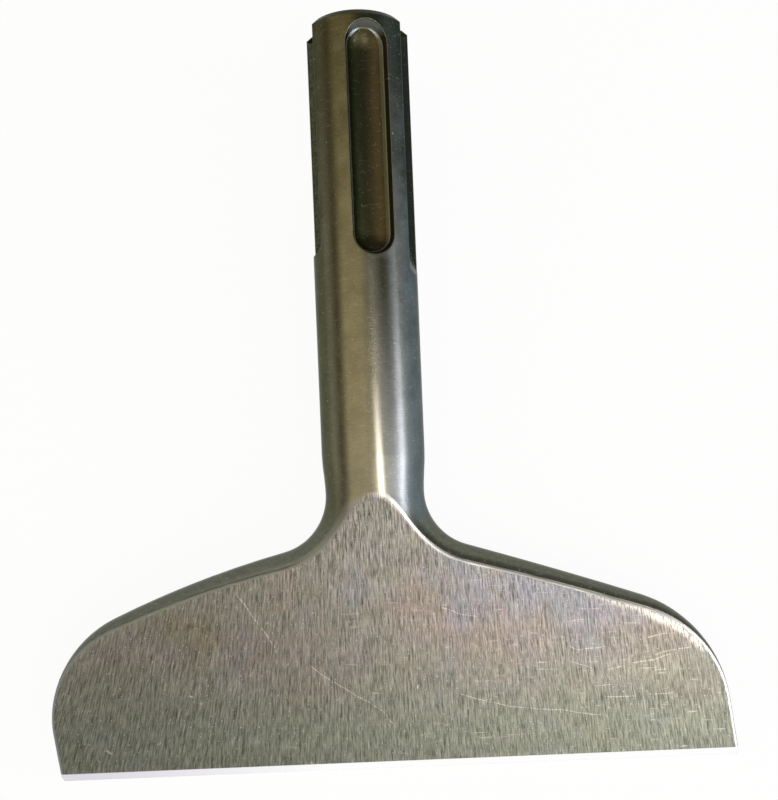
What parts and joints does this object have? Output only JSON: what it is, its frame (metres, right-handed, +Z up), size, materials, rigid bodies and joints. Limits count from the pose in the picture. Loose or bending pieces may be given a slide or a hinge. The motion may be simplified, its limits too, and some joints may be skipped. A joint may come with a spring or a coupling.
{
  "type": "tile chisel",
  "caption": "Wide flat chisel forged from one round bar, with a slotted shank for a rotary hammer's holder, for stripping tiles, adhesive and plaster.",
  "frame": {"origin": "centre of the struck end of the shank", "axes": "+Y from the struck end towards the cutting edge, level with the surface it lies on; +X across the blade, towards the side whose corner is drawn in; +Z up. The shank's own axis is tilted 7.75 degrees down from +Y, as the chisel lies on its neck and its lower ground face."},
  "size_m": [0.119, 0.1292, 0.0282],
  "materials": {
    "steel": "bare tool steel, turned on the shank and coarsely ground on the blade's faces"
  },
  "bodies": {
    "root": {"chisel": "steel"}
  },
  "joints": []
}
